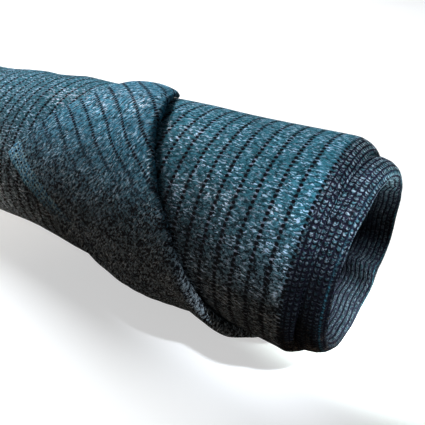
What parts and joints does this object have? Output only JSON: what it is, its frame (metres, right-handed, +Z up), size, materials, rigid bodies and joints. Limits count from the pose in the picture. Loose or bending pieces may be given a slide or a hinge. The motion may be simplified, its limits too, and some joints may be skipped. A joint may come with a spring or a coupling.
{
  "type": "rolled shade cloth",
  "caption": "Length of knitted shade cloth wound loosely into a hollow coreless roll lying on its side, with one corner of the loose end folded back over the outside.",
  "frame": {"origin": "on the surface that the roll lies on, under the middle of its bounding box", "axes": "+X along the roll towards its flared open mouth, +Z up, -Y the side over which the folded corner lies"},
  "size_m": [1, 0.1196, 0.117],
  "materials": {
    "knitted_cloth": "dark blue-green knitted tape net with dense edge bands, slightly glossy tapes and near-black chain rows",
    "knitted_cloth_reverse": "reverse side of the same knitted tape net, slightly glossy"
  },
  "bodies": {
    "root": {"wound_roll": "knitted_cloth", "folded_corner": "knitted_cloth_reverse"}
  },
  "joints": []
}
